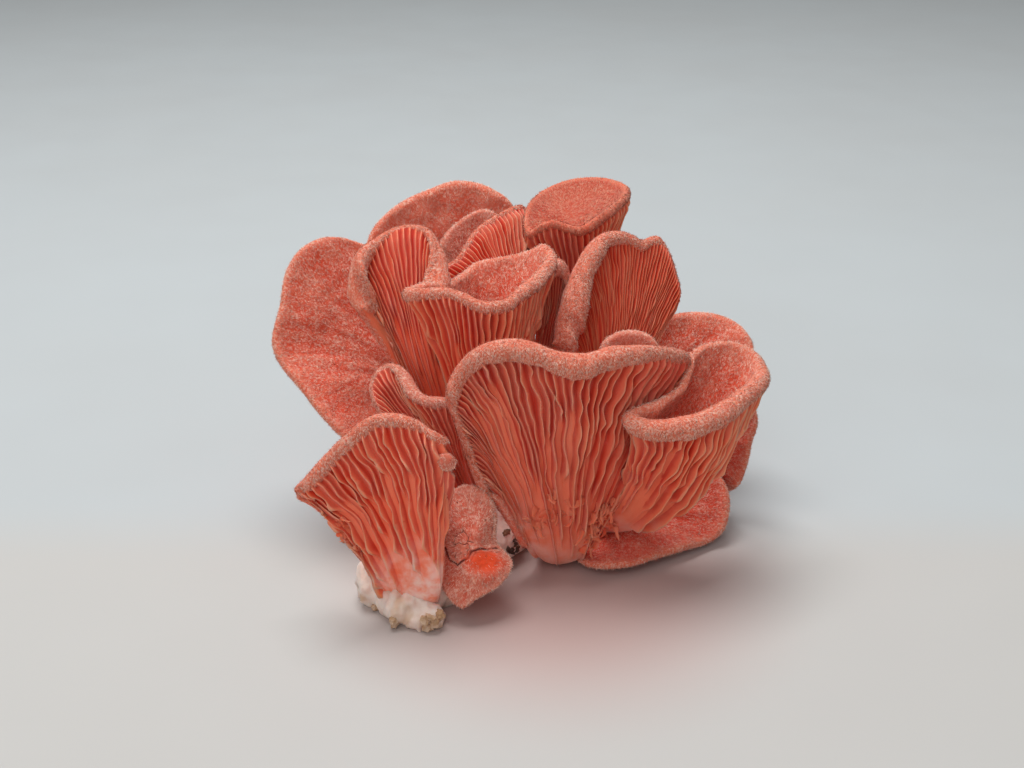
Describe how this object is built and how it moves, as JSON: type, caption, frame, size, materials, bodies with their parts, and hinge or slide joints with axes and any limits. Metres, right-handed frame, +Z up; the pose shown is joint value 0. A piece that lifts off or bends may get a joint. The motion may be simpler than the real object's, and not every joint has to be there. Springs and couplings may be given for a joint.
{
  "type": "pink oyster mushroom cluster",
  "caption": "Picked cluster of pink oyster mushrooms: folded caps with downy rims and open gills, fanning out from a foot that is cut flat.",
  "frame": {"origin": "a point on the flat cut under the foot, below the middle of the cluster", "axes": "+Z up from the surface it rests on, -Y toward the side with the largest open gills, +X to the right seen from that side"},
  "size_m": [0.1106, 0.0909, 0.0712],
  "materials": {
    "stem_base": "creamy white mycelium, pink toward the stems",
    "cap_front": "salmon gills, pale downy rim",
    "cap_front_right": "coral, pale downy rim",
    "cap_lower_left": "salmon gills, pale downy rim",
    "cap_centre_tall": "coral, pale downy rim",
    "cap_centre_funnel": "coral, pale downy rim",
    "cap_small_left": "rose, downy",
    "cap_left": "coral, downy upper side",
    "cap_top_left": "coral, downy upper side",
    "cap_top_middle": "deep coral gills",
    "cap_top_small": "rose, downy upper side",
    "cap_top_right": "coral, downy upper side",
    "cap_right_top": "coral gills, pale downy rim",
    "cap_right_back": "coral, downy upper side",
    "cap_far_right": "deep coral, downy upper side",
    "cap_low_right": "deep coral, downy upper side",
    "cap_cracked": "rose, dry and cracked",
    "cap_small_centre": "rose, downy",
    "cap_bud_right": "rose, downy"
  },
  "bodies": {
    "root": {"stem_base": "stem_base", "cap_front": "cap_front", "cap_front_right": "cap_front_right", "cap_lower_left": "cap_lower_left", "cap_centre_tall": "cap_centre_tall", "cap_centre_funnel": "cap_centre_funnel", "cap_small_left": "cap_small_left", "cap_left": "cap_left", "cap_top_left": "cap_top_left", "cap_top_middle": "cap_top_middle", "cap_top_small": "cap_top_small", "cap_top_right": "cap_top_right", "cap_right_top": "cap_right_top", "cap_right_back": "cap_right_back", "cap_far_right": "cap_far_right", "cap_low_right": "cap_low_right", "cap_cracked": "cap_cracked", "cap_small_centre": "cap_small_centre", "cap_bud_right": "cap_bud_right"}
  },
  "joints": []
}
